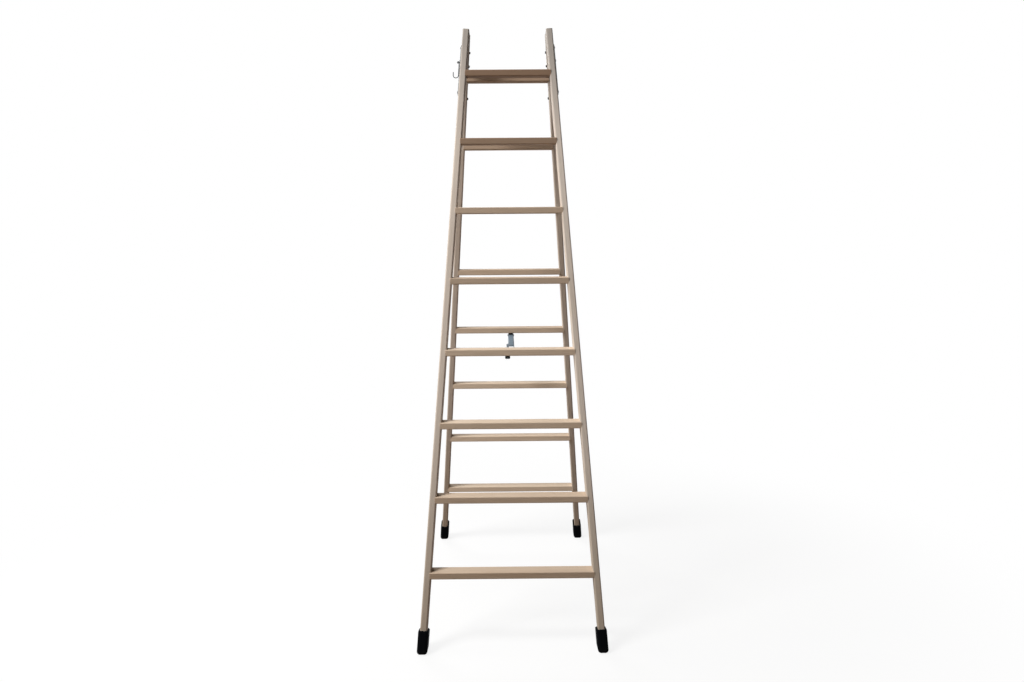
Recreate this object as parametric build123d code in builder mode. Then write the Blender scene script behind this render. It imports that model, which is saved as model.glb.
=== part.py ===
from build123d import *
from math import atan, cos, radians, sin, tan
import os

# Two-sided wooden stepladder, standing open.
# X runs across the treads, the front section stands on the -Y side, Z is up.
# The origin is on the floor, midway between the four feet. All lengths are millimetres.

# Treads, alike in both sections
tread_count = 8
first_tread_height = 278.0
tread_spacing = 260.0
tread_thickness = 24.0
tread_depth = 60.0
tread_edge_radius = 3.0

# Housings in the rails that the tread ends sit in
housing_depth = 4.5
housing_clearance = 0.1

# Rails: widths are over the rails' outer faces, at the floor and at the top
rail_thickness = 24.5
rail_depth = 56.0
rail_edge_radius = 5.0
rail_end_chamfer = 0.8
rail_above_top_tread = 160.0
foot_width = 672.0
top_width = 343.0
lean = 13.92
top_gap = 2.0

# Countersunk screws through the rails into the tread ends
screw_diameter = 4.5
screw_head_diameter = 9.0
screw_length = 50.0
screw_spread = 38.0
screw_clearance = 0.05
screw_socket_radius = 1.7
screw_socket_depth = 1.8

# Boots on the rail feet
boot_wall = 6.5
boot_sole = 8.0
boot_height = 85.0
boot_clearance = 0.2
boot_rim_radius = 4.0
boot_sole_radius = 11.0
sole_groove_width = 2.5
sole_groove_depth = 1.5
sole_groove_pitch = 12.0
sole_groove_count = 4

# Strap hinge leaves on the outside of the rails; bolt places are down the rail from its top end
leaf_thickness = 3.6
leaf_width = 24.0
leaf_bolt_places = (67.0, 119.0, 244.0)
leaf_edge_radius = 1.0

# Hinge pivot; its leaves are halved into each other round the pivot
pivot_drop = 82.0
pivot_diameter = 10.0
pivot_running_clearance = 0.05
eye_radius = 15.0
eye_lap_radius = 22.0
eye_gap = 0.3
pivot_head_diameter = 18.0
pivot_head_height = 3.5
pivot_nut_width = 16.0
pivot_nut_height = 8.0
pivot_end = 2.0

# Mushroom heads of the leaf screws and bolts; screws hold the front leaves, bolts through the rails the rear ones
leaf_bolt_diameter = 5.0
leaf_bolt_head_diameter = 14.0
leaf_bolt_head_height = 2.5
leaf_bolt_clearance = 0.1
leaf_screw_length = 22.0
washer_diameter = 10.0
washer_thickness = 1.0
leaf_nut_width = 8.0
leaf_nut_height = 3.0
leaf_bolt_end = 0.5

# Bucket hook and its screw eye on the front left rail
hook_drop = 131.0
hook_rail_depth = 8.0
eye_wire = 2.4
eye_ring_radius = 3.2
eye_stem_length = 20.0
eye_collar_diameter = 5.0
eye_collar_height = 0.6
eye_clearance = 0.05
hook_wire = 3.0
hook_loop_radius = 3.2
hook_loop_turn = 285.0
hook_shank_length = 48.0
hook_bend_radius = 10.0
hook_tip_length = 11.0
hook_leaf_gap = 0.3

# Folding stay between two facing treads; its channel is a little right of the middle
stay_tread_number = 4
stay_x = 5.2
stay_pivot_drop = 11.0
stay_pivot_inset = 20.0
stay_pin_diameter = 6.0
stay_pin_clearance = 0.05
stay_pin_head_diameter = 10.0
stay_front_head_height = 3.5
stay_head_height = 1.5

# Rear link, a channel with its web on top, cut back round the ears of its bracket; it runs on past the knuckle
channel_width = 24.0
channel_height = 11.0
channel_wall = 2.0
channel_shoulder_radius = 4.0
channel_pivot_below_top = 5.0
channel_notch_reach = 8.0
channel_overlap = 56.0
link_end_radius = 6.0

# Front link, a flat bar to the left of the channel
bar_thickness = 5.0
bar_side_gap = 0.5

# Stay brackets under the treads
bracket_thickness = 2.5
bracket_ear_thickness = 3.0
bracket_ear_gap = 0.4
bracket_ear_radius = 6.5
bracket_web_thickness = 2.4
bracket_web_drop = 2.0
bracket_base_back = 32.0
bracket_base_front = 9.0
bracket_screw_places = (-14.0, -25.0)
bracket_screw_diameter = 4.0
bracket_screw_head_diameter = 8.0
bracket_screw_head_height = 2.6
bracket_screw_length = 18.0

# Signs of the two sections and the two sides
FRONT, REAR = -1, 1
LEFT, RIGHT = -1, 1
sections = {"front": FRONT, "rear": REAR}
hands = {"left": LEFT, "right": RIGHT}
tread_numbers = range(1, tread_count + 1)

# Sizes of a section that follow from the ones above
lean_angle = radians(lean)
ladder_height = first_tread_height + (tread_count - 1) * tread_spacing + rail_above_top_tread
half_spread = ladder_height * tan(lean_angle) + rail_depth / cos(lean_angle) + top_gap / 2
splay_angle = atan((foot_width - top_width) / 2 / ladder_height * cos(lean_angle))
rise = cos(lean_angle) * cos(splay_angle)
rail_top = ladder_height / rise
rail_end_dip = rail_thickness * sin(splay_angle) * cos(lean_angle) + rail_depth * sin(lean_angle)
rail_bottom = (boot_sole + rail_end_dip) / rise
pivot_height = ladder_height - pivot_drop
leaf_screw_reach = leaf_screw_length - leaf_thickness

# Middles of the stay's two links across the ladder, and how far brackets and pins reach from them
bar_x = stay_x - channel_width / 2 - bar_side_gap - bar_thickness / 2
stay_middle = {FRONT: bar_x, REAR: stay_x}
front_ear_outer = bar_thickness / 2 + bracket_ear_gap + bracket_ear_thickness
rear_ear_outer = channel_width / 2 - channel_wall - bracket_ear_gap
ear_reach = {FRONT: front_ear_outer, REAR: rear_ear_outer}
plate_reach = {FRONT: front_ear_outer, REAR: channel_width / 2}
pin_reach = {FRONT: front_ear_outer, REAR: channel_width / 2 + bracket_ear_gap}
pin_head_height = {FRONT: stay_front_head_height, REAR: stay_head_height}
pin_hole_radius = stay_pin_diameter / 2 + stay_pin_clearance


def outward_sign(facing, side):
    """+1 where a rail's outside is on its plane's +x side, -1 where it is on the -x side."""
    return -facing * side


def section_plane(facing):
    """Outer face of a section: x across, y up the slope, z outwards."""
    return Plane(
        origin=(0, facing * half_spread, 0),
        x_dir=(-facing, 0, 0),
        z_dir=(0, facing * cos(lean_angle), sin(lean_angle)),
    )


def rail_plane(facing, side):
    """Outer edge of a rail from the floor up: x across the rail, y along it, z out of its outer face."""
    face = section_plane(facing)
    sign = outward_sign(facing, side)
    return Plane(
        origin=face.origin + face.x_dir * (sign * foot_width / 2),
        x_dir=face.x_dir * cos(splay_angle) + face.y_dir * (sign * sin(splay_angle)),
        z_dir=face.z_dir,
    )


def rail_cross_section(facing, side, along):
    """Plane square across a rail: x across it, y into its depth, z up the rail."""
    edge = rail_plane(facing, side)
    return Plane(origin=edge.origin + edge.y_dir * along, x_dir=edge.x_dir, z_dir=edge.y_dir)


def side_plane(facing, side, outward=0.0):
    """Outer side of a rail, moved outwards: x up the rail, y across its depth, z outwards."""
    edge = rail_plane(facing, side)
    out = edge.x_dir * outward_sign(facing, side)
    return Plane(origin=edge.origin + out * outward, x_dir=edge.y_dir, z_dir=out)


def side_point(facing, side, along, depth):
    """Place on a rail's side plane, by its distance up the rail and its depth behind the outer face."""
    return (along, -outward_sign(facing, side) * depth)


def side_bolt_planes(facing, side, outward):
    """Planes of a rail's leaf bolts, moved outwards from its outer side."""
    side_face = side_plane(facing, side, outward)
    places = [side_point(facing, side, rail_top - place, rail_depth / 2) for place in leaf_bolt_places]
    return [Plane(origin=side_face.from_local_coords((*place, 0)), z_dir=side_face.z_dir) for place in places]


def side_x(facing, side, y, z):
    """X of a rail's outer side at a given Y and Z."""
    side_face = side_plane(facing, side)
    origin, normal = side_face.origin, side_face.z_dir
    return origin.X - (normal.Y * (y - origin.Y) + normal.Z * (z - origin.Z)) / normal.X


def tread_top(number):
    """Height of a tread's top face."""
    return first_tread_height + (number - 1) * tread_spacing


def tread_middle(facing, number):
    """Y and Z of the middle of a tread, which lies midway in the depth of its rails."""
    z = tread_top(number) - tread_thickness / 2
    return facing * (half_spread - z * tan(lean_angle) - rail_depth / cos(lean_angle) / 2), z


def housing_floor(facing, side, gap):
    """Plane along the floor of a rail's housings, a gap short of it, facing outwards."""
    side_face = side_plane(facing, side, housing_depth - rail_thickness - gap)
    return Plane(origin=side_face.origin, z_dir=side_face.z_dir)


def tread_bar(facing, number, clearance, end_gap):
    """A bar with the section of a tread, cut off at the housing floors of both rails."""
    y, z = tread_middle(facing, number)
    with BuildPart() as bar:
        with BuildSketch(Plane(origin=(0, y, z), x_dir=(0, 1, 0), z_dir=(1, 0, 0))):
            RectangleRounded(
                tread_depth + 2 * clearance, tread_thickness + 2 * clearance, tread_edge_radius + clearance
            )
        extrude(amount=foot_width / 2, both=True)
        for side in hands.values():
            split(bisect_by=housing_floor(facing, side, end_gap), keep=Keep.BOTTOM)
    return bar.part


def screw_planes(facing, side, number):
    """Planes of the two screws of a tread end, on the rail's outer side."""
    y, z = tread_middle(facing, number)
    planes = []
    for offset in (-screw_spread / 2, screw_spread / 2):
        point = (side_x(facing, side, y + offset, z), y + offset, z)
        planes.append(Plane(origin=point, z_dir=side_plane(facing, side).z_dir))
    return planes


def pivot_plane(side, reach):
    """Plane square to the hinge axis, a reach from the middle: z outwards."""
    return Plane(origin=(side * reach, 0, pivot_height), x_dir=(0, 1, 0), z_dir=(side, 0, 0))


def save(piece, name):
    """Label a finished piece and write it to its own file."""
    piece.label = name
    export_step(piece, f"parts/{name}.step")


os.makedirs("parts", exist_ok=True)

# Screw eye and hook places on the front left rail
hook_height = ladder_height - hook_drop
hook_y = section_plane(FRONT).origin.Y + hook_height * tan(lean_angle) + hook_rail_depth / cos(lean_angle)
eye_seat = Plane(
    origin=(side_x(FRONT, LEFT, hook_y, hook_height), hook_y, hook_height),
    z_dir=side_plane(FRONT, LEFT).z_dir,
)
eye_ring_reach = eye_collar_height + eye_wire / 2 + eye_ring_radius
hook_axis = eye_seat.offset(eye_ring_reach + eye_ring_radius).origin

# Rails, with housings for the treads and holes for the screws, the leaf bolts and the screw eye
for section, facing in sections.items():
    for hand, side in hands.items():
        housings = [tread_bar(facing, number, housing_clearance, 0.0) for number in tread_numbers]
        screws = [plane for number in tread_numbers for plane in screw_planes(facing, side, number)]
        with BuildPart() as rail:
            with BuildSketch(rail_cross_section(facing, side, rail_bottom)):
                with Locations((-outward_sign(facing, side) * rail_thickness / 2, rail_depth / 2)):
                    RectangleRounded(rail_thickness, rail_depth, rail_edge_radius)
            extrude(amount=rail_top - rail_bottom)
            chamfer(rail.faces().sort_by(Axis.Z)[-1].edges(), rail_end_chamfer)
            add(housings, mode=Mode.SUBTRACT)
            with Locations(*screws):
                CounterSinkHole(
                    radius=screw_diameter / 2 + screw_clearance,
                    counter_sink_radius=screw_head_diameter / 2 + screw_clearance,
                    depth=rail_thickness,
                    counter_sink_angle=90,
                )
            hole_depth = leaf_screw_reach + leaf_bolt_clearance if facing == FRONT else 2 * rail_thickness
            with Locations(*side_bolt_planes(facing, side, 0.0)):
                Hole(radius=leaf_bolt_diameter / 2 + leaf_bolt_clearance, depth=hole_depth)
            if facing == FRONT and side == LEFT:
                with Locations(eye_seat):
                    Hole(radius=eye_wire / 2 + eye_clearance, depth=eye_stem_length + eye_clearance)
        save(rail.part, f"{section}_{hand}_rail")

# Treads, with pilot holes for the screws
for section, facing in sections.items():
    for number in tread_numbers:
        board = tread_bar(facing, number, 0.0, housing_clearance)
        pilots = [plane for side in hands.values() for plane in screw_planes(facing, side, number)]
        with BuildPart() as tread:
            add(board)
            with Locations(*pilots):
                Hole(radius=screw_diameter / 2 + screw_clearance, depth=screw_length + screw_clearance)
            if number == stay_tread_number:
                inner_y = abs(tread_middle(facing, number)[0]) - tread_depth / 2
                for place in bracket_screw_places:
                    screw_y = facing * (inner_y + stay_pivot_inset - place)
                    underside = tread_top(number) - tread_thickness
                    with Locations(Plane(origin=(stay_middle[facing], screw_y, underside), z_dir=(0, 0, -1))):
                        Hole(
                            radius=bracket_screw_diameter / 2 + screw_clearance,
                            depth=bracket_screw_length - bracket_thickness + screw_clearance,
                        )
        save(tread.part, f"{section}_tread_{number}")

# Tread screws, one group for each rail
for section, facing in sections.items():
    for hand, side in hands.items():
        planes = [plane for number in tread_numbers for plane in screw_planes(facing, side, number)]
        head_height = (screw_head_diameter - screw_diameter) / 2
        with BuildPart() as screws:
            with Locations(*planes):
                Cylinder(screw_diameter / 2, screw_length, align=(Align.CENTER, Align.CENTER, Align.MAX))
                Cone(
                    screw_diameter / 2,
                    screw_head_diameter / 2,
                    head_height,
                    align=(Align.CENTER, Align.CENTER, Align.MAX),
                )
            with BuildSketch(*planes):
                RegularPolygon(screw_socket_radius, 6)
            extrude(amount=-screw_socket_depth, mode=Mode.SUBTRACT)
        save(screws.part, f"{section}_{hand}_tread_screws")

# Boots, sleeves round the rail feet with level soles
for section, facing in sections.items():
    for hand, side in hands.items():
        centre = (-outward_sign(facing, side) * rail_thickness / 2, rail_depth / 2)
        boot_skin = boot_clearance + boot_wall
        with BuildPart() as boot:
            with BuildSketch(rail_cross_section(facing, side, -rail_depth)):
                with Locations(centre):
                    RectangleRounded(
                        rail_thickness + 2 * boot_skin,
                        rail_depth + 2 * boot_skin,
                        rail_edge_radius + boot_skin,
                    )
            extrude(amount=rail_depth + boot_height)
            split(bisect_by=Plane.XY, keep=Keep.TOP)
            fillet(boot.faces().sort_by(Axis.Z)[0].edges(), boot_sole_radius)
            fillet(boot.faces().sort_by(Axis.Z)[-1].edges(), boot_rim_radius)
            with BuildSketch(rail_cross_section(facing, side, rail_bottom - boot_clearance)):
                with Locations(centre):
                    RectangleRounded(
                        rail_thickness + 2 * boot_clearance,
                        rail_depth + 2 * boot_clearance,
                        rail_edge_radius + boot_clearance,
                    )
            extrude(amount=boot_height, mode=Mode.SUBTRACT)
            sole_middle = boot.faces().sort_by(Axis.Z)[0].center()
            with BuildSketch(Plane.XY):
                with Locations((sole_middle.X, sole_middle.Y)):
                    with GridLocations(0, sole_groove_pitch, 1, sole_groove_count):
                        Rectangle(2 * rail_depth, sole_groove_width)
            extrude(amount=sole_groove_depth, mode=Mode.SUBTRACT)
        save(boot.part, f"{section}_{hand}_boot")

# Hinge leaves: a strap down the rail and a lug that reaches the pivot
pivot_x = side_x(FRONT, RIGHT, 0.0, pivot_height)
lap_x = pivot_x + leaf_thickness / 2
for section, facing in sections.items():
    for hand, side in hands.items():
        strap_face = side_plane(facing, side)
        bolts = [side_point(facing, side, rail_top - place, rail_depth / 2) for place in leaf_bolt_places]
        pivot = strap_face.to_local_coords(Vector(side * pivot_x, 0, pivot_height))
        own_start, own_end = pivot_x, lap_x - eye_gap / 2
        if facing == REAR:
            own_start, own_end = lap_x + eye_gap / 2, pivot_x + leaf_thickness
        with BuildPart() as leaf:
            with BuildSketch(strap_face):
                with Locations(bolts[0], bolts[-1]):
                    Circle(leaf_width / 2)
                make_hull()
            with BuildSketch(strap_face):
                with Locations(bolts[0], bolts[1]):
                    Circle(leaf_width / 2)
                with Locations((pivot.X, pivot.Y)):
                    Circle(eye_radius)
                make_hull()
            extrude(amount=leaf_thickness)
            outer_face = leaf.faces().filter_by(strap_face).sort_by(Axis.X)
            chamfer(outer_face[-1 if side == RIGHT else 0].outer_wire().edges(), leaf_edge_radius)
            with BuildSketch(pivot_plane(side, own_end)):
                Circle(eye_lap_radius)
            extrude(amount=2 * leaf_thickness, mode=Mode.SUBTRACT)
            with BuildSketch(pivot_plane(side, own_start)):
                Circle(eye_lap_radius)
            extrude(amount=-2 * leaf_thickness, mode=Mode.SUBTRACT)
            with BuildSketch(pivot_plane(side, own_start)):
                Circle(eye_radius)
            extrude(amount=own_end - own_start)
            with BuildSketch(pivot_plane(side, own_start)):
                Circle(pivot_diameter / 2 + pivot_running_clearance)
            extrude(amount=own_end - own_start, mode=Mode.SUBTRACT)
            with Locations(*side_bolt_planes(facing, side, leaf_thickness)):
                Hole(radius=leaf_bolt_diameter / 2 + leaf_bolt_clearance, depth=2 * leaf_thickness)
        save(leaf.part, f"{section}_{hand}_hinge_leaf")

# Pivot bolts, with a domed head outside and a nut inside
for hand, side in hands.items():
    head_start = pivot_x + leaf_thickness + eye_gap
    shank_start = pivot_x - pivot_nut_height - pivot_end
    with BuildPart() as pivot_bolt:
        with BuildSketch(pivot_plane(side, shank_start)):
            Circle(pivot_diameter / 2)
        extrude(amount=head_start - shank_start)
        with BuildSketch(pivot_plane(side, head_start)):
            Circle(pivot_head_diameter / 2)
        extrude(amount=pivot_head_height)
        outer_end = pivot_bolt.faces().sort_by(Axis.X)[-1 if side == RIGHT else 0]
        fillet(outer_end.edges(), pivot_head_height / 2)
    save(pivot_bolt.part, f"{hand}_pivot_bolt")

with BuildPart() as pivot_nuts:
    for side in hands.values():
        with BuildSketch(pivot_plane(side, pivot_x)):
            RegularPolygon(pivot_nut_width / 2, 6, major_radius=False)
            Circle(pivot_diameter / 2 + pivot_running_clearance, mode=Mode.SUBTRACT)
        extrude(amount=-pivot_nut_height)
save(pivot_nuts.part, "pivot_nuts")

# Leaf screws of the front section; leaf bolts, washers and nuts of the rear one
grip = leaf_thickness + rail_thickness
bolt_reach = grip + washer_thickness + leaf_nut_height + leaf_bolt_end
dome_radius = (leaf_bolt_head_diameter**2 / 4 + leaf_bolt_head_height**2) / (2 * leaf_bolt_head_height)
with BuildPart() as head_pattern:
    with Locations((0, 0, leaf_bolt_head_height - dome_radius)):
        Sphere(dome_radius)
    split(bisect_by=Plane.XY, keep=Keep.TOP)
with BuildPart() as screw_pattern:
    add(head_pattern.part)
    Cylinder(leaf_bolt_diameter / 2, leaf_screw_length, align=(Align.CENTER, Align.CENTER, Align.MAX))
with BuildPart() as bolt_pattern:
    add(head_pattern.part)
    Cylinder(leaf_bolt_diameter / 2, bolt_reach, align=(Align.CENTER, Align.CENTER, Align.MAX))
with BuildPart() as washer_pattern:
    with BuildSketch(Plane.XY.offset(-grip)):
        Circle(washer_diameter / 2)
        Circle(leaf_bolt_diameter / 2 + leaf_bolt_clearance, mode=Mode.SUBTRACT)
    extrude(amount=-washer_thickness)
with BuildPart() as nut_pattern:
    with BuildSketch(Plane.XY.offset(-grip - washer_thickness)):
        RegularPolygon(leaf_nut_width / 2, 6, major_radius=False)
        Circle(leaf_bolt_diameter / 2 + leaf_bolt_clearance, mode=Mode.SUBTRACT)
    extrude(amount=-leaf_nut_height)
rear_patterns = {"bolts": bolt_pattern, "washers": washer_pattern, "nuts": nut_pattern}
leaf_fasteners = {"front": {"screws": screw_pattern}, "rear": rear_patterns}
for section, facing in sections.items():
    seats = [plane for side in hands.values() for plane in side_bolt_planes(facing, side, leaf_thickness)]
    for kind, pattern in leaf_fasteners[section].items():
        with BuildPart() as fasteners:
            with Locations(*seats):
                add(pattern.part)
        save(fasteners.part, f"{section}_hinge_{kind}")

# Screw eye: a wire ring on a stem that is screwed square into the rail
with BuildPart() as screw_eye:
    ring_centre = eye_seat.offset(eye_ring_reach).origin
    with Locations(Plane(origin=ring_centre, z_dir=eye_seat.z_dir.cross(Vector(0, 1, 0)))):
        Torus(eye_ring_radius, eye_wire / 2)
    with BuildSketch(eye_seat.offset(eye_collar_height + eye_wire / 2)):
        Circle(eye_wire / 2)
    extrude(amount=-eye_stem_length - eye_collar_height - eye_wire / 2)
    with BuildSketch(eye_seat):
        Circle(eye_collar_diameter / 2)
    extrude(amount=eye_collar_height)
save(screw_eye.part, "hook_screw_eye")

# Bucket hook: a wire loop on the ring, a shank that rests on the hinge leaf and a bend that opens outwards
shank_foot_z = hook_axis.Z - hook_shank_length
leaf_foot_x = side_x(FRONT, LEFT, hook_axis.Y, shank_foot_z) - leaf_thickness
shank_foot_x = leaf_foot_x - hook_leaf_gap - hook_wire / 2
hook_tilt = atan((shank_foot_x - hook_axis.X - hook_loop_radius) / hook_shank_length)
hook_plane = Plane(origin=hook_axis, x_dir=(cos(hook_tilt), 0, sin(hook_tilt)), z_dir=(0, -1, 0))
bend_x = hook_loop_radius - hook_bend_radius
tip_x = bend_x - hook_bend_radius
with BuildPart() as hook:
    with BuildLine(hook_plane) as hook_path:
        CenterArc((0, 0), hook_loop_radius, hook_loop_turn, -hook_loop_turn)
        Line((hook_loop_radius, 0), (hook_loop_radius, -hook_shank_length))
        CenterArc((bend_x, -hook_shank_length), hook_bend_radius, 0, -180)
        Line((tip_x, -hook_shank_length), (tip_x, hook_tip_length - hook_shank_length))
    with BuildSketch(Plane(origin=hook_path.line @ 0, z_dir=hook_path.line % 0)):
        Circle(hook_wire / 2)
    sweep()
    tip = hook.faces().filter_by(GeomType.PLANE).sort_by(Axis.X)[0]
    fillet(tip.edges(), hook_wire / 4)
save(hook.part, "bucket_hook")

# Stay places: the pin axes under the treads, and the knuckle midway between them
stay_inner_y = abs(tread_middle(FRONT, stay_tread_number)[0]) - tread_depth / 2
stay_pin_y = stay_inner_y + stay_pivot_inset
stay_underside = tread_top(stay_tread_number) - tread_thickness
stay_z = stay_underside - stay_pivot_drop


def stay_side_plane(facing, across):
    """Plane square to a link's pins, across from its middle: x towards the knuckle, y up, z along the pins."""
    return Plane(
        origin=(stay_middle[facing] - facing * across, facing * stay_pin_y, stay_z),
        x_dir=(0, -facing, 0),
        z_dir=(-facing, 0, 0),
    )


# Stay brackets: a plate screwed under the tread, with two ears for the pin, and at the rear a web between them
for section, facing in sections.items():
    ear_outer = ear_reach[facing]
    with BuildPart() as bracket:
        with BuildSketch(Plane.XY.offset(stay_underside)):
            base_length = bracket_base_back + bracket_base_front
            base_middle = facing * (stay_pin_y + (bracket_base_back - bracket_base_front) / 2)
            with Locations((stay_middle[facing], base_middle)):
                Rectangle(2 * plate_reach[facing], base_length)
        extrude(amount=-bracket_thickness)
        for ear_start in (-ear_outer, ear_outer - bracket_ear_thickness):
            with BuildSketch(stay_side_plane(facing, ear_start)):
                Circle(bracket_ear_radius)
                with Locations((0, stay_pivot_drop / 2)):
                    Rectangle(2 * bracket_ear_radius, stay_pivot_drop)
                Circle(pin_hole_radius, mode=Mode.SUBTRACT)
            extrude(amount=bracket_ear_thickness)
        if facing == REAR:
            web_height = stay_pivot_drop + bracket_web_drop
            with BuildSketch(stay_side_plane(facing, -ear_outer)):
                with Locations((bracket_ear_radius, -bracket_web_drop)):
                    Rectangle(bracket_web_thickness, web_height, align=(Align.MAX, Align.MIN))
            extrude(amount=2 * ear_outer)
        seats = [(stay_middle[facing], facing * (stay_pin_y - place)) for place in bracket_screw_places]
        with BuildSketch(Plane.XY.offset(stay_underside)):
            with Locations(*seats):
                Circle(bracket_screw_diameter / 2 + screw_clearance)
        extrude(amount=-bracket_thickness, mode=Mode.SUBTRACT)
    save(bracket.part, f"stay_{section}_bracket")

    with BuildPart() as bracket_screws:
        with BuildSketch(Plane.XY.offset(stay_underside - bracket_thickness)):
            with Locations(*seats):
                Circle(bracket_screw_diameter / 2)
        extrude(amount=bracket_screw_length)
        with BuildSketch(Plane.XY.offset(stay_underside - bracket_thickness)):
            with Locations(*seats):
                Circle(bracket_screw_head_diameter / 2)
        extrude(amount=-bracket_screw_head_height)
        fillet(bracket_screws.faces().group_by(Axis.Z)[0].edges(), bracket_screw_head_height / 2)
    save(bracket_screws.part, f"stay_{section}_bracket_screws")

# Stay pins: the front one holds the bar between its ears, the rear one the channel outside them
for section, facing in sections.items():
    reach = pin_reach[facing]
    head_height = pin_head_height[facing]
    with BuildPart() as stay_pin:
        with BuildSketch(stay_side_plane(facing, -reach)):
            Circle(stay_pin_diameter / 2)
        extrude(amount=2 * reach)
        with BuildSketch(stay_side_plane(facing, reach)):
            Circle(stay_pin_head_diameter / 2)
        extrude(amount=head_height)
        with BuildSketch(stay_side_plane(facing, -reach)):
            Circle(stay_pin_head_diameter / 2)
        extrude(amount=-head_height)
        ends = stay_pin.faces().sort_by(Axis.X)
        fillet(ends[0].edges() + ends[-1].edges(), head_height / 2)
    save(stay_pin.part, f"stay_{section}_pin")

# Rear link: the channel, with its web on top, cut back at the bracket, and its ends rounded about the pins
channel_inside = channel_width - 2 * channel_wall
channel_slot = stay_pin_y + channel_overlap - link_end_radius
notch_length = channel_notch_reach + link_end_radius
with BuildPart() as channel:
    with BuildSketch(Plane(origin=(stay_x, 0, stay_z), x_dir=(1, 0, 0), z_dir=(0, 1, 0))):
        with Locations((0, channel_height / 2 - channel_pivot_below_top)):
            outline = Rectangle(channel_width, channel_height)
            fillet(outline.vertices().group_by(Axis.Y)[0], channel_shoulder_radius)
        with Locations((0, channel_height / 2 - channel_pivot_below_top + channel_wall)):
            Rectangle(channel_inside, channel_height, mode=Mode.SUBTRACT)
    extrude(amount=stay_pin_y + link_end_radius)
    extrude(faces().sort_by(Axis.Y)[:1], amount=channel_overlap)
    with BuildSketch(stay_side_plane(REAR, -channel_width)):
        with Locations((channel_slot / 2, 0)):
            SlotCenterToCenter(channel_slot, 2 * link_end_radius)
    extrude(amount=2 * channel_width, mode=Mode.INTERSECT)
    with BuildSketch(stay_side_plane(REAR, -channel_width)):
        with Locations((0, 0), (stay_pin_y, 0)):
            Circle(pin_hole_radius)
    extrude(amount=2 * channel_width, mode=Mode.SUBTRACT)
    with BuildSketch(Plane.XY.offset(stay_z)):
        with Locations((stay_x, stay_pin_y - channel_notch_reach)):
            Rectangle(channel_inside, notch_length, align=(Align.CENTER, Align.MIN))
    extrude(amount=channel_height, mode=Mode.SUBTRACT)
save(channel.part, "stay_rear_link")

# Front link: the flat bar
with BuildPart() as bar:
    with BuildSketch(stay_side_plane(FRONT, -bar_thickness / 2)):
        with Locations((stay_pin_y / 2, 0)):
            SlotCenterToCenter(stay_pin_y, 2 * link_end_radius)
        with Locations((0, 0), (stay_pin_y, 0)):
            Circle(pin_hole_radius, mode=Mode.SUBTRACT)
    extrude(amount=bar_thickness)
save(bar.part, "stay_front_link")

# Knuckle: a pin across the channel, and a stud in the bar with its head on the left
with BuildPart() as knuckle_pin:
    with BuildSketch(Plane(origin=(stay_x, 0, stay_z), x_dir=(0, 1, 0), z_dir=(1, 0, 0))):
        Circle(stay_pin_diameter / 2)
    extrude(amount=channel_width / 2, both=True)
save(knuckle_pin.part, "stay_knuckle_pin")

with BuildPart() as knuckle_stud:
    bar_middle = Plane(origin=(bar_x, 0, stay_z), x_dir=(0, 1, 0), z_dir=(-1, 0, 0))
    with BuildSketch(bar_middle.offset(-bar_thickness / 2)):
        Circle(stay_pin_diameter / 2)
    extrude(amount=bar_thickness)
    with BuildSketch(bar_middle.offset(bar_thickness / 2)):
        Circle(stay_pin_head_diameter / 2)
    extrude(amount=stay_head_height)
    fillet(knuckle_stud.faces().sort_by(Axis.X)[0].edges(), stay_head_height / 2)
save(knuckle_stud.part, "stay_knuckle_stud")

print("ladder height", round(ladder_height, 3), "spread at the floor", round(2 * half_spread, 3))
print("hinge axis at z", round(pivot_height, 4), "x of the eyes", round(pivot_x, 4))
print("hook axis", *(round(value, 4) for value in hook_axis))
print("stay pins at y", round(stay_pin_y, 4), "z", round(stay_z, 4), "bar x", round(bar_x, 4))
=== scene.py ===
"""Looks of a two-sided wooden stepladder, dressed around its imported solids.

Every object is in metres in the frame of the solids: X runs across the treads, the front
section stands on the -Y side and Z is up, with the floor at zero.
"""

import logging
import math
from dataclasses import dataclass, field
from enum import Enum
from typing import Any, Optional, Union

import bpy
import numpy as np
from mathutils import Matrix, Vector


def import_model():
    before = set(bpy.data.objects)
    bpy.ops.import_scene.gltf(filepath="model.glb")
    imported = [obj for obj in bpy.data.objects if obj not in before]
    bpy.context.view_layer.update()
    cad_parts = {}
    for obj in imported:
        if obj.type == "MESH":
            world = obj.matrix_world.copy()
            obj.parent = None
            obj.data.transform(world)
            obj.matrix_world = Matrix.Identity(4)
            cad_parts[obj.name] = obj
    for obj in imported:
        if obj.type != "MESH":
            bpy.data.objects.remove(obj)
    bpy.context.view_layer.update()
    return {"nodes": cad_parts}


LOG = logging.getLogger("stepladder")

Colour = tuple[float, float, float, float]
Triple = tuple[float, float, float]
Pair = tuple[float, float]
Tint = Union[Colour, bpy.types.NodeSocket]
Operand = Union["Value", float]
Nodes = dict[str, bpy.types.Object]

WHITE: Colour = (1.0, 1.0, 1.0, 1.0)

# Numbers of the Mix node's colour sockets, whose names its other sockets share.
MIX_SHARE = 0
MIX_FIRST = 6
MIX_SECOND = 7
MIX_RESULT = 2


class Section(Enum):
    """The two climbable sections."""

    FRONT = "front"
    REAR = "rear"


class Hand(Enum):
    """The two sides of a section, as seen from the front."""

    LEFT = "left"
    RIGHT = "right"


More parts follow.
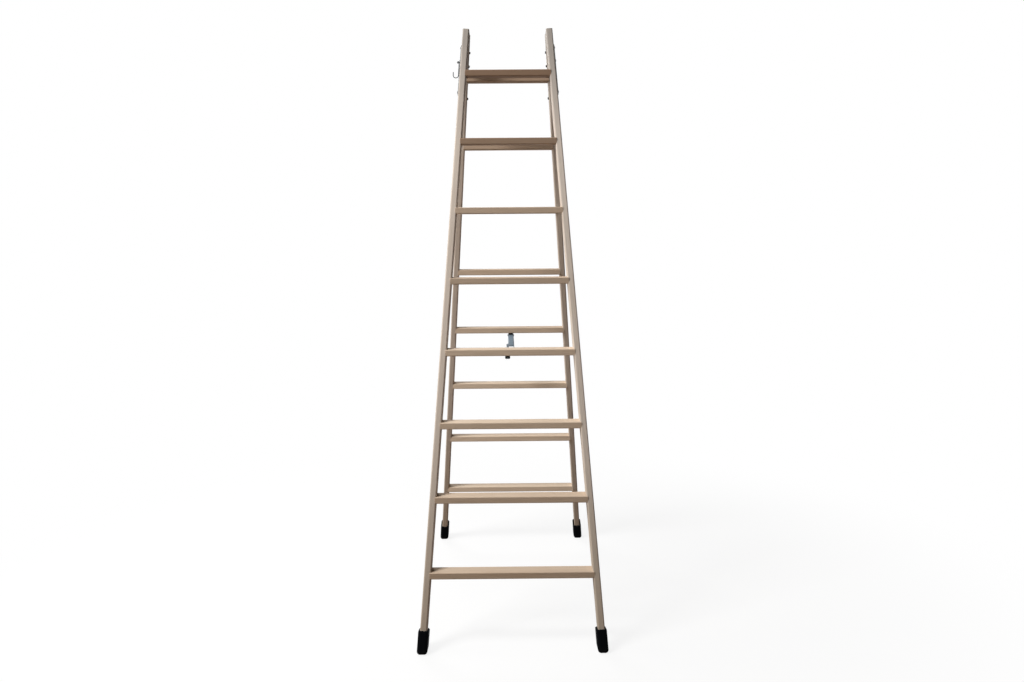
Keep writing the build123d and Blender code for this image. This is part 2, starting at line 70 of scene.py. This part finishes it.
class Value:
    """A number socket that adds Math nodes when it is used in an expression."""

    def __init__(self, graph: "Graph", socket: bpy.types.NodeSocket) -> None:
        """Keep the socket and the graph that it belongs to."""
        self.graph = graph
        self.socket = socket

    def _math(self, operation: str, *operands: Operand) -> "Value":
        """Add one Math node.

        Args:
            operation: Name of the Math node's operation.
            operands: Values or numbers for its sockets, in order.

        Returns:
            The node's result.
        """
        inputs = dict(enumerate(operands))
        return self.graph.value("ShaderNodeMath", {"operation": operation}, inputs)

    def __add__(self, other: Operand) -> "Value":
        """Sum."""
        return self._math("ADD", self, other)

    def __radd__(self, other: Operand) -> "Value":
        """Sum with a number first."""
        return self._math("ADD", other, self)

    def __sub__(self, other: Operand) -> "Value":
        """Difference."""
        return self._math("SUBTRACT", self, other)

    def __rsub__(self, other: Operand) -> "Value":
        """Difference with a number first."""
        return self._math("SUBTRACT", other, self)

    def __mul__(self, other: Operand) -> "Value":
        """Product."""
        return self._math("MULTIPLY", self, other)

    def __rmul__(self, other: Operand) -> "Value":
        """Product with a number first."""
        return self._math("MULTIPLY", other, self)

    def __truediv__(self, other: Operand) -> "Value":
        """Quotient."""
        return self._math("DIVIDE", self, other)

    def __rtruediv__(self, other: Operand) -> "Value":
        """Quotient with a number first."""
        return self._math("DIVIDE", other, self)

    def __pow__(self, other: Operand) -> "Value":
        """Power."""
        return self._math("POWER", self, other)

    def __rpow__(self, other: Operand) -> "Value":
        """Power of a number."""
        return self._math("POWER", other, self)

    def fraction(self) -> "Value":
        """Part after the decimal point."""
        return self._math("FRACT", self)

    def at_least(self, other: Operand) -> "Value":
        """The larger of two values."""
        return self._math("MAXIMUM", self, other)

    def step(self, low: float, high: float) -> "Value":
        """Rise smoothly from 0 at low to 1 at high.

        Args:
            low: Where the rise starts.
            high: Where it ends; below low, the value falls instead.

        Returns:
            The rise, between 0 and 1.
        """
        if high < low:
            return 1.0 - self.step(high, low)
        return self.graph.value(
            "ShaderNodeMapRange",
            {"interpolation_type": "SMOOTHSTEP"},
            {"Value": self, "From Min": low, "From Max": high},
        )


@dataclass(frozen=True)
class Cloud:
    """A cloud noise whose lumps can be stretched.

    Attributes:
        stretch: Lumps to the metre along each of the coordinates.
        pattern: Number that picks the pattern.
        detail: Octaves of finer noise.
    """

    stretch: Triple
    pattern: float
    detail: float


class Graph:
    """The node tree of one material or of the world."""

    def __init__(self, owner: Union[bpy.types.Material, bpy.types.World]) -> None:
        """Clear the owner's node tree and keep it.

        Args:
            owner: The material or the world.
        """
        owner.use_nodes = True
        self.tree = owner.node_tree
        self.tree.nodes.clear()

    def node(self, kind: str, settings: dict[str, Any], inputs: dict[Any, Any]) -> bpy.types.Node:
        """Add one node.

        Args:
            kind: The node's type.
            settings: Its own settings, which are set first.
            inputs: Numbers, colours, sockets or values, by socket name or number.

        Returns:
            The node.
        """
        made = self.tree.nodes.new(kind)
        for key, setting in settings.items():
            setattr(made, key, setting)
        for key, given in inputs.items():
            if isinstance(given, Value):
                given = given.socket
            if isinstance(given, bpy.types.NodeSocket):
                self.tree.links.new(given, made.inputs[key])
            else:
                made.inputs[key].default_value = given
        return made

    def value(
        self, kind: str, settings: dict[str, Any], inputs: dict[Any, Any], output: Union[str, int] = 0
    ) -> Value:
        """Add one node and wrap one of its outputs.

        Args:
            kind: The node's type.
            settings: Its own settings.
            inputs: Its sockets' values or links.
            output: Name or number of the output.

        Returns:
            The output, ready for an expression.
        """
        return Value(self, self.node(kind, settings, inputs).outputs[output])

    def coordinates(self) -> bpy.types.NodeSocket:
        """Object coordinates, which are metres in the shared frame."""
        return self.node("ShaderNodeTexCoord", {}, {}).outputs["Object"]

    def place(self, axes: Matrix, centre: Vector) -> bpy.types.NodeSocket:
        """Turn and centre Object coordinates on a piece.

        Args:
            axes: Turn from the frame to the piece's own axes.
            centre: The piece's middle in the frame.

        Returns:
            The piece's own coordinates.
        """
        inputs = {
            "Vector": self.coordinates(),
            "Rotation": axes.to_euler("XYZ"),
            "Location": -(axes @ centre),
        }
        return self.node("ShaderNodeMapping", {"vector_type": "POINT"}, inputs).outputs["Vector"]

    def split(self, vector: bpy.types.NodeSocket) -> tuple[Value, Value, Value]:
        """Part a vector into its three numbers."""
        parts = self.node("ShaderNodeSeparateXYZ", {}, {"Vector": vector}).outputs
        return Value(self, parts["X"]), Value(self, parts["Y"]), Value(self, parts["Z"])

    def noise(self, vector: bpy.types.NodeSocket, cloud: Cloud, shift: float = 0.0) -> Value:
        """Lay a cloud noise over a piece.

        Args:
            vector: Coordinates in metres.
            cloud: The noise.
            shift: Number that moves on from the cloud's own pattern.

        Returns:
            Noise from 0 to 1, about one half.
        """
        stretched = {0: vector, 1: cloud.stretch}
        scaled = self.node("ShaderNodeVectorMath", {"operation": "MULTIPLY"}, stretched)
        inputs = {
            "Vector": scaled.outputs[0],
            "W": cloud.pattern + shift,
            "Scale": 1.0,
            "Detail": cloud.detail,
        }
        return self.value("ShaderNodeTexNoise", {"noise_dimensions": "4D"}, inputs, "Fac")

    def mix(self, share: Operand, first: Tint, second: Tint) -> bpy.types.NodeSocket:
        """Mix two colours.

        Args:
            share: Share of the second colour.
            first: Colour at a share of 0.
            second: Colour at a share of 1.

        Returns:
            The mixed colour.
        """
        settings = {"data_type": "RGBA", "clamp_factor": True}
        inputs = {MIX_SHARE: share, MIX_FIRST: first, MIX_SECOND: second}
        return self.node("ShaderNodeMix", settings, inputs).outputs[MIX_RESULT]

    def mix_shaders(
        self, share: Value, first: bpy.types.Node, second: bpy.types.Node
    ) -> bpy.types.NodeSocket:
        """Mix two shaders.

        Args:
            share: Share of the second shader.
            first: Shader at a share of 0.
            second: Shader at a share of 1.

        Returns:
            The mixed shader.
        """
        inputs = {0: share, 1: first.outputs[0], 2: second.outputs[0]}
        return self.node("ShaderNodeMixShader", {}, inputs).outputs[0]

    def bump(self, height: Value, strength: float, distance: float) -> bpy.types.NodeSocket:
        """Turn a height in shares of a distance into a normal."""
        inputs = {"Height": height, "Strength": strength, "Distance": distance}
        return self.node("ShaderNodeBump", {}, inputs).outputs["Normal"]

    def surface(self, sockets: dict[str, Any]) -> None:
        """Close the tree with a Principled shader."""
        shader = self.node("ShaderNodeBsdfPrincipled", {}, sockets)
        self.node("ShaderNodeOutputMaterial", {}, {"Surface": shader.outputs[0]})


def new_graph(name: str) -> tuple[bpy.types.Material, Graph]:
    """Make an empty material and its graph."""
    material = bpy.data.materials.new(name)
    return material, Graph(material)


def node_points(node: bpy.types.Object) -> np.ndarray:
    """Read a solid's vertices.

    Args:
        node: The solid.

    Returns:
        Rows of X, Y and Z in metres.
    """
    flat = np.empty(3 * len(node.data.vertices), dtype=np.float32)
    node.data.vertices.foreach_get("co", flat)
    return flat.reshape(-1, 3).astype(float)


def dress(node: bpy.types.Object, material: bpy.types.Material) -> None:
    """Put one material on a whole solid and report it.

    Args:
        node: The solid.
        material: What it is to wear.
    """
    node.data.materials.clear()
    node.data.materials.append(material)
    LOG.info("dressed %s in %s", node.name, material.name)


@dataclass
class Board:
    """One length of timber: a rail or a tread, with axes read from its solid.

    Its own coordinates are across its thickness, across its depth and along its grain.
    """

    node: bpy.types.Object
    axes: Matrix = field(init=False)
    centre: Vector = field(init=False)
    half: Vector = field(init=False)

    def __post_init__(self) -> None:
        """Find the grain's direction as the one in which the vertices spread most."""
        points = node_points(self.node)
        spread = np.linalg.svd(points - points.mean(axis=0), full_matrices=False)[2]
        along, deep = spread[0], spread[1]
        along = along * np.sign(along[np.argmax(np.abs(along))])
        deep = deep * np.sign(deep[np.argmax(np.abs(deep))])
        rows = np.stack([np.cross(deep, along), deep, along])
        local = points @ rows.T
        low, high = local.min(axis=0), local.max(axis=0)
        self.axes = Matrix(rows.tolist())
        self.centre = Vector((rows.T @ ((low + high) / 2)).tolist())
        self.half = Vector(((high - low) / 2).tolist())


@dataclass(frozen=True)
class EndShadeAndWear:
    """A stretch at one end of a piece whose colour is another, patchily: painted shade, and worn grey
    end grain at a rail's head.

    Attributes:
        colour: The colour at the end.
        reach: How far in from the end it fades out, in metres.
        share: How far the end takes the colour.
        patch_span: Patchiness at which the colour is least and most.
        patch_least: Share of it where it is least.
        patch_gain: What is added to that share where it is most.
    """

    colour: Colour
    reach: float
    share: float
    patch_span: Pair = (0.2, 0.8)
    patch_least: float = 0.85
    patch_gain: float = 0.3

    def apply(
        self, graph: Graph, colour: bpy.types.NodeSocket, from_end: Value, end_patchiness: Value
    ) -> bpy.types.NodeSocket:
        """Fade a piece's colour into this one towards the end.

        Args:
            graph: The piece's graph.
            colour: Its colour so far.
            from_end: Distance from the end in metres.
            end_patchiness: Patchiness from 0 to 1.

        Returns:
            The new colour.
        """
        patch = end_patchiness.step(*self.patch_span) * self.patch_gain + self.patch_least
        share = from_end.step(self.reach, 0.0) * patch * self.share
        return graph.mix(share, colour, self.colour)


@dataclass(frozen=True)
class Timber:
    """Planed timber under a dull clear varnish, with growth rings, fibres and a slow change of tone.

    Lengths are in metres. A span is where a noise, or the way through one ring, starts and
    ends a change, and a share is how far the change goes.
    """

    early: Colour
    late: Colour
    streak: Colour
    # heart: brown colour that a board is darkened towards, for heartwood and for painted shade
    heart_and_shade: Colour
    # foot and head darken a board towards its ends: painted shade, and worn grey end grain at the
    # head
    foot: Optional[EndShadeAndWear] = None
    head: Optional[EndShadeAndWear] = None

    pith_reach: float = 0.055
    ring_pitch: float = 0.0034
    ring_wander: float = 0.03
    ring_slope: float = 0.006
    late_rise: Pair = (0.25, 0.9)
    late_fall: Pair = (1.0, 0.92)
    ring_share: float = 0.34

    tone_span: Pair = (0.35, 0.75)
    tone_share: float = 0.30
    fibre_span: Pair = (0.42, 0.72)
    fibre_share: float = 0.42
    fleck_span: Pair = (0.66, 0.74)
    fleck_share: float = 0.22

    roughness: float = 0.6
    roughness_swing: float = 0.16
    specular: float = 0.03
    fibre_relief: float = 0.6
    late_relief: float = 0.4
    relief_depth: float = 0.00025
    relief_strength: float = 0.35

    patterns: float = 50.0
    wander_cloud: Cloud = Cloud(stretch=(9.0, 9.0, 1.7), pattern=0.0, detail=2.0)
    fibre_cloud: Cloud = Cloud(stretch=(620.0, 620.0, 11.0), pattern=3.0, detail=3.0)
    tone_cloud: Cloud = Cloud(stretch=(26.0, 26.0, 1.3), pattern=9.0, detail=2.0)
    fleck_cloud: Cloud = Cloud(stretch=(900.0, 900.0, 60.0), pattern=17.0, detail=1.0)
    end_patch_cloud: Cloud = Cloud(stretch=(60.0, 60.0, 9.0), pattern=23.0, detail=4.0)

    def material(self, board: Board, seed: int, heart_and_shade_share: float) -> bpy.types.Material:
        """Make the material of one board.

        Rings are shells about the pith, a line along the grain that stands off from the middle
        of the board and wanders a little. Each ring darkens slowly to its late wood and ends
        sharply.

        Args:
            board: The board that it is for.
            seed: Number that picks the board's own pattern.
            heart_and_shade_share: How far the board is darkened towards the brown heart colour, from
                0 to 1: partly heartwood, partly painted shade.

        Returns:
            The material.
        """
        material, graph = new_graph(f"{board.node.name}_wood")
        draw = np.random.default_rng(seed)
        pattern = float(draw.uniform(0, self.patterns))
        turn = float(draw.uniform(0, 2 * math.pi))
        place = graph.place(board.axes, board.centre)
        across, deep, along = graph.split(place)

        wander = graph.noise(place, self.wander_cloud, pattern)
        side = across - self.pith_reach * math.cos(turn)
        rise = deep - self.pith_reach * math.sin(turn)
        from_pith = (side * side + rise * rise) ** 0.5
        radius = from_pith + wander * self.ring_wander + along * self.ring_slope
        ring = (radius / self.ring_pitch).fraction()
        late = ring.step(*self.late_rise) * ring.step(*self.late_fall)

        fibre = graph.noise(place, self.fibre_cloud, pattern)
        tone = graph.noise(place, self.tone_cloud, pattern).step(*self.tone_span)
        fleck = graph.noise(place, self.fleck_cloud, pattern).step(*self.fleck_span)
        end_patchiness = graph.noise(place, self.end_patch_cloud, pattern)

        colour = graph.mix(late * self.ring_share, self.early, self.late)
        colour = graph.mix(tone * self.tone_share, colour, self.late)
        colour = graph.mix(fibre.step(*self.fibre_span) * self.fibre_share, colour, self.streak)
        colour = graph.mix(fleck * self.fleck_share, colour, self.streak)
        # Darkened towards the heart colour: heartwood, and painted shade on boards that stood in
        # shade
        colour = graph.mix(heart_and_shade_share, colour, self.heart_and_shade)
        half_length = float(board.half.z)
        # Painted shade towards both ends of the rails, and worn end grain at the head
        if self.foot:
            colour = self.foot.apply(graph, colour, along + half_length, end_patchiness)
        if self.head:
            colour = self.head.apply(graph, colour, half_length - along, end_patchiness)

        smoothest = self.roughness - self.roughness_swing / 2
        height = fibre * self.fibre_relief + late * self.late_relief
        graph.surface(
            {
                "Base Color": colour,
                "Roughness": fibre * self.roughness_swing + smoothest,
                "Specular IOR Level": self.specular,
                "Normal": graph.bump(height, self.relief_strength, self.relief_depth),
            }
        )
        return material


@dataclass(frozen=True)
class Steel:
    """Plated or galvanised steel with a crystal pattern, fine grit and dull patches.

    Lengths are in metres. The rear end is a stretch of another colour that ends at a place on Y; on
    the stay it is a painted shadow under the rear tread.
    """

    name: str
    light: Colour
    dark: Colour
    roughness: float
    metallic: float
    crystal: float
    specular: float = 0.5
    rear_end: Optional[EndShadeAndWear] = None
    rear_end_at: float = 0.305

    patch_span: Pair = (0.3, 0.7)
    patch_share: float = 0.5
    patch_roughness: float = 0.2
    grit_roughness: float = 0.1
    grit_relief: float = 0.7
    crystal_relief: float = 0.3
    relief_depth: float = 0.0001
    relief_strength: float = 0.25
    patch_cloud: Cloud = Cloud(stretch=(70.0, 70.0, 70.0), pattern=4.0, detail=4.0)
    grit_cloud: Cloud = Cloud(stretch=(1400.0, 1400.0, 1400.0), pattern=8.0, detail=2.0)

    def material(self) -> bpy.types.Material:
        """Make the material.

        Crystals are the cells that lie nearest to scattered points, each with its own shade.

        Returns:
            The material.
        """
        material, graph = new_graph(self.name)
        place = graph.coordinates()
        pattern = {"Vector": place, "Scale": 1.0 / self.crystal}
        cells = graph.node("ShaderNodeTexVoronoi", {"feature": "F1"}, pattern)
        shade, _, _ = graph.split(cells.outputs["Color"])
        patch = graph.noise(place, self.patch_cloud)
        grit = graph.noise(place, self.grit_cloud)
        dull = patch.step(*self.patch_span)
        share = shade * (1.0 - self.patch_share) + dull * self.patch_share
        colour = graph.mix(share, self.light, self.dark)
        if self.rear_end:
            _, y, _ = graph.split(place)
            # Painted shadow at the rear end, where it is set
            colour = self.rear_end.apply(graph, colour, self.rear_end_at - y, patch)
        smoothest = self.roughness - (self.patch_roughness + self.grit_roughness) / 2
        roughness = patch * self.patch_roughness + grit * self.grit_roughness + smoothest
        height = grit * self.grit_relief + shade * self.crystal_relief
        graph.surface(
            {
                "Base Color": colour,
                "Metallic": self.metallic,
                "Specular IOR Level": self.specular,
                "Roughness": roughness,
                "Normal": graph.bump(height, self.relief_strength, self.relief_depth),
            }
        )
        return material


@dataclass(frozen=True)
class Rubber:
    """Moulded black rubber, finely pebbled, with dust low down. Lengths are in metres."""

    name: str
    base: Colour
    dust: Colour
    roughness: float = 0.7
    roughness_swing: float = 0.2
    specular: float = 0.02
    dust_height: float = 0.03
    dust_span: Pair = (0.35, 0.75)
    dust_share: float = 0.12
    haze_share: float = 0.01
    relief_depth: float = 0.0002
    relief_strength: float = 0.3
    pebble_cloud: Cloud = Cloud(stretch=(1100.0, 1100.0, 1100.0), pattern=2.0, detail=2.0)
    dust_cloud: Cloud = Cloud(stretch=(60.0, 60.0, 60.0), pattern=5.0, detail=4.0)

    def material(self) -> bpy.types.Material:
        """Make the material.

        Returns:
            The material.
        """
        material, graph = new_graph(self.name)
        place = graph.coordinates()
        _, _, height = graph.split(place)
        pebble = graph.noise(place, self.pebble_cloud)
        cloud = graph.noise(place, self.dust_cloud)
        dusty = height.step(self.dust_height, 0.0) * cloud.step(*self.dust_span)
        share = dusty * self.dust_share + cloud * self.haze_share
        smoothest = self.roughness - self.roughness_swing / 2
        graph.surface(
            {
                "Base Color": graph.mix(share, self.base, self.dust),
                "Roughness": cloud * self.roughness_swing + smoothest,
                "Specular IOR Level": self.specular,
                "Normal": graph.bump(pebble, self.relief_strength, self.relief_depth),
            }
        )
        return material


# Painted sheen in part: these rail colours are paler and greyer than the wood, standing for the
# varnish sheen on the rails' front faces
RAIL_TIMBER = Timber(
    early=(0.745, 0.665, 0.59, 1.0),
    late=(0.60, 0.50, 0.405, 1.0),
    streak=(0.52, 0.42, 0.33, 1.0),
    heart_and_shade=(0.36, 0.24, 0.15, 1.0),
    # Painted shade: the rails darken towards both ends, where the sheen on their middles fades; the
    # grey at the head is also worn end grain
    foot=EndShadeAndWear(colour=(0.46, 0.385, 0.305, 1.0), reach=0.95, share=0.85),
    head=EndShadeAndWear(colour=(0.36, 0.33, 0.30, 1.0), reach=0.55, share=0.85),
)
TREAD_TIMBER = Timber(
    early=(0.77, 0.635, 0.50, 1.0),
    late=(0.61, 0.455, 0.32, 1.0),
    streak=(0.52, 0.385, 0.27, 1.0),
    heart_and_shade=(0.22, 0.13, 0.08, 1.0),
)
# Painted shade in part: the leaves are darkened so that they read as the shaded outer edges of the
# rails
HINGE_STEEL = Steel(
    name="hinge_zinc", light=(0.30, 0.30, 0.29, 1.0), dark=(0.18, 0.18, 0.18, 1.0),
    roughness=0.5, metallic=0.6, crystal=0.004,
)
# Painted reflection in part: the blue in these colours stands for the sky that the stay's top
# reflects, on grey steel
STAY_STEEL = Steel(
    name="stay_galvanised", light=(0.148, 0.198, 0.242, 1.0), dark=(0.107, 0.144, 0.184, 1.0),
    roughness=0.6, metallic=0.1, crystal=0.009, specular=0.06,
    # Painted shadow: the rear end turns near black where the stay runs into the shade under the rear
    # tread
    rear_end=EndShadeAndWear(colour=(0.012, 0.012, 0.013, 1.0), reach=0.025, share=1.0),
)
HOOK_STEEL = Steel(
    name="hook_wire", light=(0.035, 0.04, 0.042, 1.0), dark=(0.02, 0.022, 0.024, 1.0),
    roughness=0.5, metallic=0.4, crystal=0.003, specular=0.15,
)
# Near black, partly painted shade: the nuts and the stay's brackets are darkened to the shade they
# sit in under the treads and between the rails
FASTENER_STEEL = Steel(
    name="fastener_black", light=(0.03, 0.03, 0.032, 1.0), dark=(0.012, 0.012, 0.013, 1.0),
    roughness=0.55, metallic=0.3, crystal=0.002, specular=0.1,
)
BOOT_RUBBER = Rubber(
    name="boot_rubber", base=(0.0025, 0.003, 0.004, 1.0), dust=(0.09, 0.085, 0.08, 1.0),
)


@dataclass(frozen=True)
class ClimbingSection:
    """One section: two rails, its treads and their screws, and the boots on its feet.

    Attributes:
        section: Which of the two it is.
        first_seed: Seed of its left rail; the other boards' seeds follow from it.
        rail_heart_and_shade: How far its rails are darkened towards the brown heart colour: partly
            heartwood, partly painted shade.
        tread_hearts_and_shade: How far each tread is darkened so, from the lowest up: partly
            heartwood, and painted shade that darkens the upper treads most.
        tread_seed_step: What is added to the first seed before the treads' numbers.
    """

    section: Section
    first_seed: int
    rail_heart_and_shade: float
    tread_hearts_and_shade: tuple[float, ...]
    tread_seed_step: int = 10

    def dress(self, nodes: Nodes, boot: bpy.types.Material, screw: bpy.types.Material) -> None:
        """Give each board its own timber, the boots their rubber and the screws their steel.

        Args:
            nodes: All the solids by name.
            boot: The boots' material.
            screw: The screws' material.
        """
        prefix = self.section.value
        for number, hand in enumerate(Hand):
            side = f"{prefix}_{hand.value}"
            board = Board(nodes[f"{side}_rail"])
            dress(board.node, RAIL_TIMBER.material(board, self.first_seed + number, self.rail_heart_and_shade))
            dress(nodes[f"{side}_boot"], boot)
            dress(nodes[f"{side}_tread_screws"], screw)
        tread_seed = self.first_seed + self.tread_seed_step
        for number, heart_and_shade in enumerate(self.tread_hearts_and_shade, start=1):
            board = Board(nodes[f"{prefix}_tread_{number}"])
            dress(board.node, TREAD_TIMBER.material(board, tread_seed + number, heart_and_shade))
        LOG.info("dressed the %s section", prefix)


@dataclass(frozen=True)
class Fitting:
    """A metal sub-assembly: solids of its own steel, and the black pieces that hold them."""

    name: str
    steel: Steel
    members: tuple[str, ...]
    fasteners: tuple[str, ...] = ()

    def dress(self, nodes: Nodes, fastener: bpy.types.Material) -> None:
        """Give the members their steel, and the fasteners theirs.

        Args:
            nodes: All the solids by name.
            fastener: The fasteners' material.
        """
        steel = self.steel.material()
        for name in self.members:
            dress(nodes[name], steel)
        for name in self.fasteners:
            dress(nodes[name], fastener)
        LOG.info("dressed the %s", self.name)


# Painted shade in part: these shares darken the upper treads most, for the shade they stood in,
# besides giving boards some heartwood
FRONT_SECTION = ClimbingSection(
    section=Section.FRONT,
    first_seed=100,
    rail_heart_and_shade=0.0,
    tread_hearts_and_shade=(0.25, 0.19, 0.05, 0.06, 0.28, 0.22, 0.72, 0.86),
)
# Painted shade in part: the rear rails and the upper treads are darkened towards the heart colour for
# the shade they stood in
REAR_SECTION = ClimbingSection(
    section=Section.REAR,
    first_seed=200,
    rail_heart_and_shade=0.08,
    tread_hearts_and_shade=(0.0, 0.0, 0.0, 0.2, 0.25, 0.25, 0.5, 0.66),
)
HINGES = Fitting(
    name="hinges",
    steel=HINGE_STEEL,
    members=tuple(f"{section.value}_{hand.value}_hinge_leaf" for section in Section for hand in Hand),
    fasteners=(
        "front_hinge_screws", "rear_hinge_bolts", "rear_hinge_washers", "rear_hinge_nuts",
        "left_pivot_bolt", "right_pivot_bolt", "pivot_nuts",
    ),
)
BUCKET_HOOK = Fitting(name="bucket hook", steel=HOOK_STEEL, members=("bucket_hook", "hook_screw_eye"))
STAY = Fitting(
    name="stay",
    steel=STAY_STEEL,
    members=("stay_front_link", "stay_rear_link"),
    fasteners=(
        "stay_front_bracket", "stay_front_bracket_screws", "stay_front_pin",
        "stay_rear_bracket", "stay_rear_bracket_screws", "stay_rear_pin",
        "stay_knuckle_pin", "stay_knuckle_stud",
    ),
)


@dataclass(frozen=True)
class Lamp:
    """A soft rectangular lamp that points at a place on the ladder, in metres and watts."""

    name: str
    place: Triple
    target: Triple
    size: Pair
    power: float
    colour: Triple = (1.0, 1.0, 1.0)

    def build(self) -> None:
        """Make the lamp, hidden from the camera."""
        light = bpy.data.lights.new(self.name, "AREA")
        light.shape = "RECTANGLE"
        light.size, light.size_y = self.size
        light.energy = self.power
        light.color = self.colour
        lamp = bpy.data.objects.new(self.name, light)
        bpy.context.scene.collection.objects.link(lamp)
        aim = Vector(self.target) - Vector(self.place)
        lamp.location = self.place
        lamp.rotation_euler = aim.to_track_quat("-Z", "Y").to_euler()
        lamp.visible_camera = False


@dataclass(frozen=True)
class Studio:
    """Floor, lamps, world and camera.

    Attributes:
        floor_reach: Half the floor's width in metres.
        floor_bounce: The floor's colour as it lights the ladder.
        floor_paper: Its colour as it is seen.
        floor_white: Share of plain white in what is seen of it near the ladder.
        white_span: Distances from the middle over which that share grows to one.
        fill: Colour of the world as it lights the ladder.
        fill_strength: Its strength.
        lens: The camera's focal length in millimetres.
        sensor: Its sensor's width in millimetres.
        place: Where it stands.
        yaw: Turn to the right, in radians.
        pitch: Tip down, in radians.
        roll: Turn about the line of sight, in radians.
        lamps: The lamps.
    """

    floor_reach: float = 14.0
    floor_bounce: Colour = (0.22, 0.15, 0.105, 1.0)
    floor_paper: Colour = (0.95, 0.95, 0.95, 1.0)
    floor_white: float = 0.86
    white_span: Pair = (0.9, 2.4)
    fill: Colour = (0.98, 0.97, 0.96, 1.0)
    fill_strength: float = 0.03
    lens: float = 32.0125
    sensor: float = 36.0
    place: Triple = (-0.01055, -3.6752, 1.5435)
    yaw: float = 0.0052
    pitch: float = 0.1360
    roll: float = -0.0073
    lamps: tuple[Lamp, ...] = (
        Lamp(
            name="key", place=(-2.7, -1.85, 5.1), target=(0.0, 0.0, 1.1),
            size=(1.6, 1.6), power=260.0, colour=(1.0, 0.99, 0.975),
        ),
        Lamp(
            name="left", place=(-4.2, -0.3, 1.6), target=(0.0, 0.0, 1.1),
            size=(2.0, 2.0), power=60.0, colour=(1.0, 0.97, 0.94),
        ),
        Lamp(
            name="front", place=(-0.6, -3.4, 0.6), target=(0.0, 0.0, 0.6),
            size=(1.6, 1.0), power=6.5, colour=(1.0, 0.97, 0.94),
        ),
        Lamp(
            name="back", place=(-1.8, 3.8, 3.6), target=(0.0, 0.3, 1.1),
            size=(2.2, 2.2), power=118.0,
        ),
        Lamp(
            name="right", place=(3.8, 2.2, 1.3), target=(0.0, 0.0, 1.1),
            size=(2.0, 2.0), power=9.0,
        ),
    )

    def build(self) -> None:
        """Make everything around the ladder."""
        self._world()
        self._floor()
        for lamp in self.lamps:
            lamp.build()
        self._camera()
        bpy.context.scene.view_settings.view_transform = "Standard"
        LOG.info("built the studio")

    @staticmethod
    def _seen(graph: Graph) -> Value:
        """Tell what is seen from what only lights the ladder.

        Args:
            graph: Graph of the world or of the floor.

        Returns:
            One where the camera, a reflection or a clear piece looks, and zero for lighting.
        """
        rays = graph.node("ShaderNodeLightPath", {}, {}).outputs
        camera = Value(graph, rays["Is Camera Ray"])
        glossy = Value(graph, rays["Is Glossy Ray"])
        return camera.at_least(glossy).at_least(Value(graph, rays["Is Transmission Ray"]))

    def _world(self) -> None:
        """Light the ladder evenly with the fill, and show white."""
        world = bpy.data.worlds.new("studio")
        bpy.context.scene.world = world
        graph = Graph(world)
        fill_light = {"Color": self.fill, "Strength": self.fill_strength}
        fill = graph.node("ShaderNodeBackground", {}, fill_light)
        white = graph.node("ShaderNodeBackground", {}, {"Color": WHITE, "Strength": 1.0})
        shader = graph.mix_shaders(self._seen(graph), fill, white)
        graph.node("ShaderNodeOutputWorld", {}, {"Surface": shader})

    def _floor(self) -> None:
        """Lay a flat pale floor whose shadow stays faint on white.

        Its mesh is one face over the four corners of a grid.
        """
        reach = np.array([-self.floor_reach, self.floor_reach])
        x, y = np.meshgrid(reach, reach)
        points = np.stack([x.ravel(), y.ravel(), np.zeros(x.size)], axis=1)
        mesh = bpy.data.meshes.new("floor")
        mesh.from_pydata(points.tolist(), [], [(0, 1, 3, 2)])
        mesh.materials.append(self._paper())
        floor = bpy.data.objects.new("floor", mesh)
        bpy.context.scene.collection.objects.link(floor)

    def _paper(self) -> bpy.types.Material:
        """Make the floor's material, which turns to plain white away from the ladder.

        Returns:
            The material.
        """
        material, graph = new_graph("floor_paper")
        seen = self._seen(graph)
        colour = graph.mix(seen, self.floor_bounce, self.floor_paper)
        paper = graph.node("ShaderNodeBsdfDiffuse", {}, {"Color": colour})
        white = graph.node("ShaderNodeEmission", {}, {"Color": WHITE, "Strength": 1.0})
        x, y, _ = graph.split(graph.coordinates())
        away = (x * x + y * y) ** 0.5
        white_share = self.floor_white + away.step(*self.white_span) * (1.0 - self.floor_white)
        shader = graph.mix_shaders(seen * white_share, paper, white)
        graph.node("ShaderNodeOutputMaterial", {}, {"Surface": shader})
        return material

    def _camera(self) -> None:
        """Stand the camera where the photograph was taken from.

        The axes are those of a camera that looks along +Y, turned by the yaw about Z, tipped
        down by the pitch and rolled about its own line of sight.
        """
        data = bpy.data.cameras.new("camera")
        data.sensor_width = self.sensor
        data.lens = self.lens
        camera = bpy.data.objects.new("camera", data)
        bpy.context.scene.collection.objects.link(camera)
        right = Vector((math.cos(self.yaw), -math.sin(self.yaw), 0.0))
        level = Vector((math.sin(self.yaw), math.cos(self.yaw), 0.0))
        up_axis = Vector((0.0, 0.0, 1.0))
        forward = level * math.cos(self.pitch) - up_axis * math.sin(self.pitch)
        up = level * math.sin(self.pitch) + up_axis * math.cos(self.pitch)
        rolled_right = right * math.cos(self.roll) + up * math.sin(self.roll)
        rolled_up = up * math.cos(self.roll) - right * math.sin(self.roll)
        turn = Matrix((rolled_right, rolled_up, -forward)).transposed()
        camera.matrix_world = Matrix.Translation(self.place) @ turn.to_4x4()
        bpy.context.scene.camera = camera


def main() -> None:
    """Load the solids, dress them and set up the studio."""
    logging.basicConfig(level=logging.INFO)
    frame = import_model()
    nodes: Nodes = frame["nodes"]
    boot = BOOT_RUBBER.material()
    fastener = FASTENER_STEEL.material()
    for section in (FRONT_SECTION, REAR_SECTION):
        section.dress(nodes, boot, fastener)
    for fitting in (HINGES, BUCKET_HOOK, STAY):
        fitting.dress(nodes, fastener)
    Studio().build()


if __name__ == "__main__":
    main()
